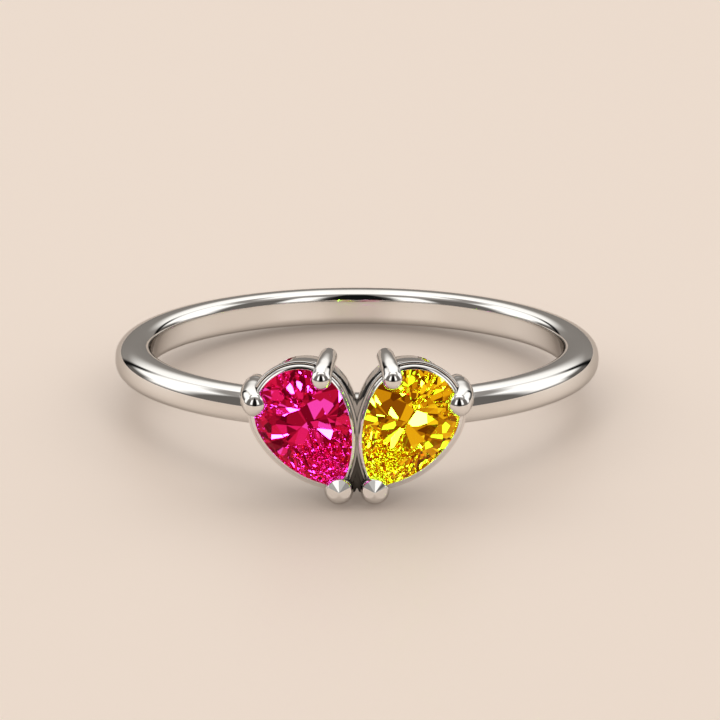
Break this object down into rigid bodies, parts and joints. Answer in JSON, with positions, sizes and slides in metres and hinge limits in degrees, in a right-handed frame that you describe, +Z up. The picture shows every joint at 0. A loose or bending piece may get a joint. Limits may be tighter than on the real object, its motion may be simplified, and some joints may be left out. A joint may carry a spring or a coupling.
{
  "type": "two-stone finger ring",
  "caption": "Slim polished white-metal finger ring with a pink and a yellow pear-cut stone in prong baskets, points together in a heart, lying on its side",
  "frame": {"origin": "The middle of the finger hole, on the hole's axis and halfway across the band.", "axes": "+Z is up from the surface that the ring lies on, -Y points at the front of the two stones, and +X runs to the right as seen from the front, from the pink stone to the yellow one."},
  "size_m": [0.0208, 0.0237, 0.0062],
  "materials": {
    "white_metal": "mirror-polished rhodium-plated silver",
    "pink_stone": "polished faceted pink stone",
    "yellow_stone": "polished faceted yellow stone"
  },
  "bodies": {
    "root": {"ring_metal": "white_metal", "pink_stone": "pink_stone", "yellow_stone": "yellow_stone"}
  },
  "joints": []
}
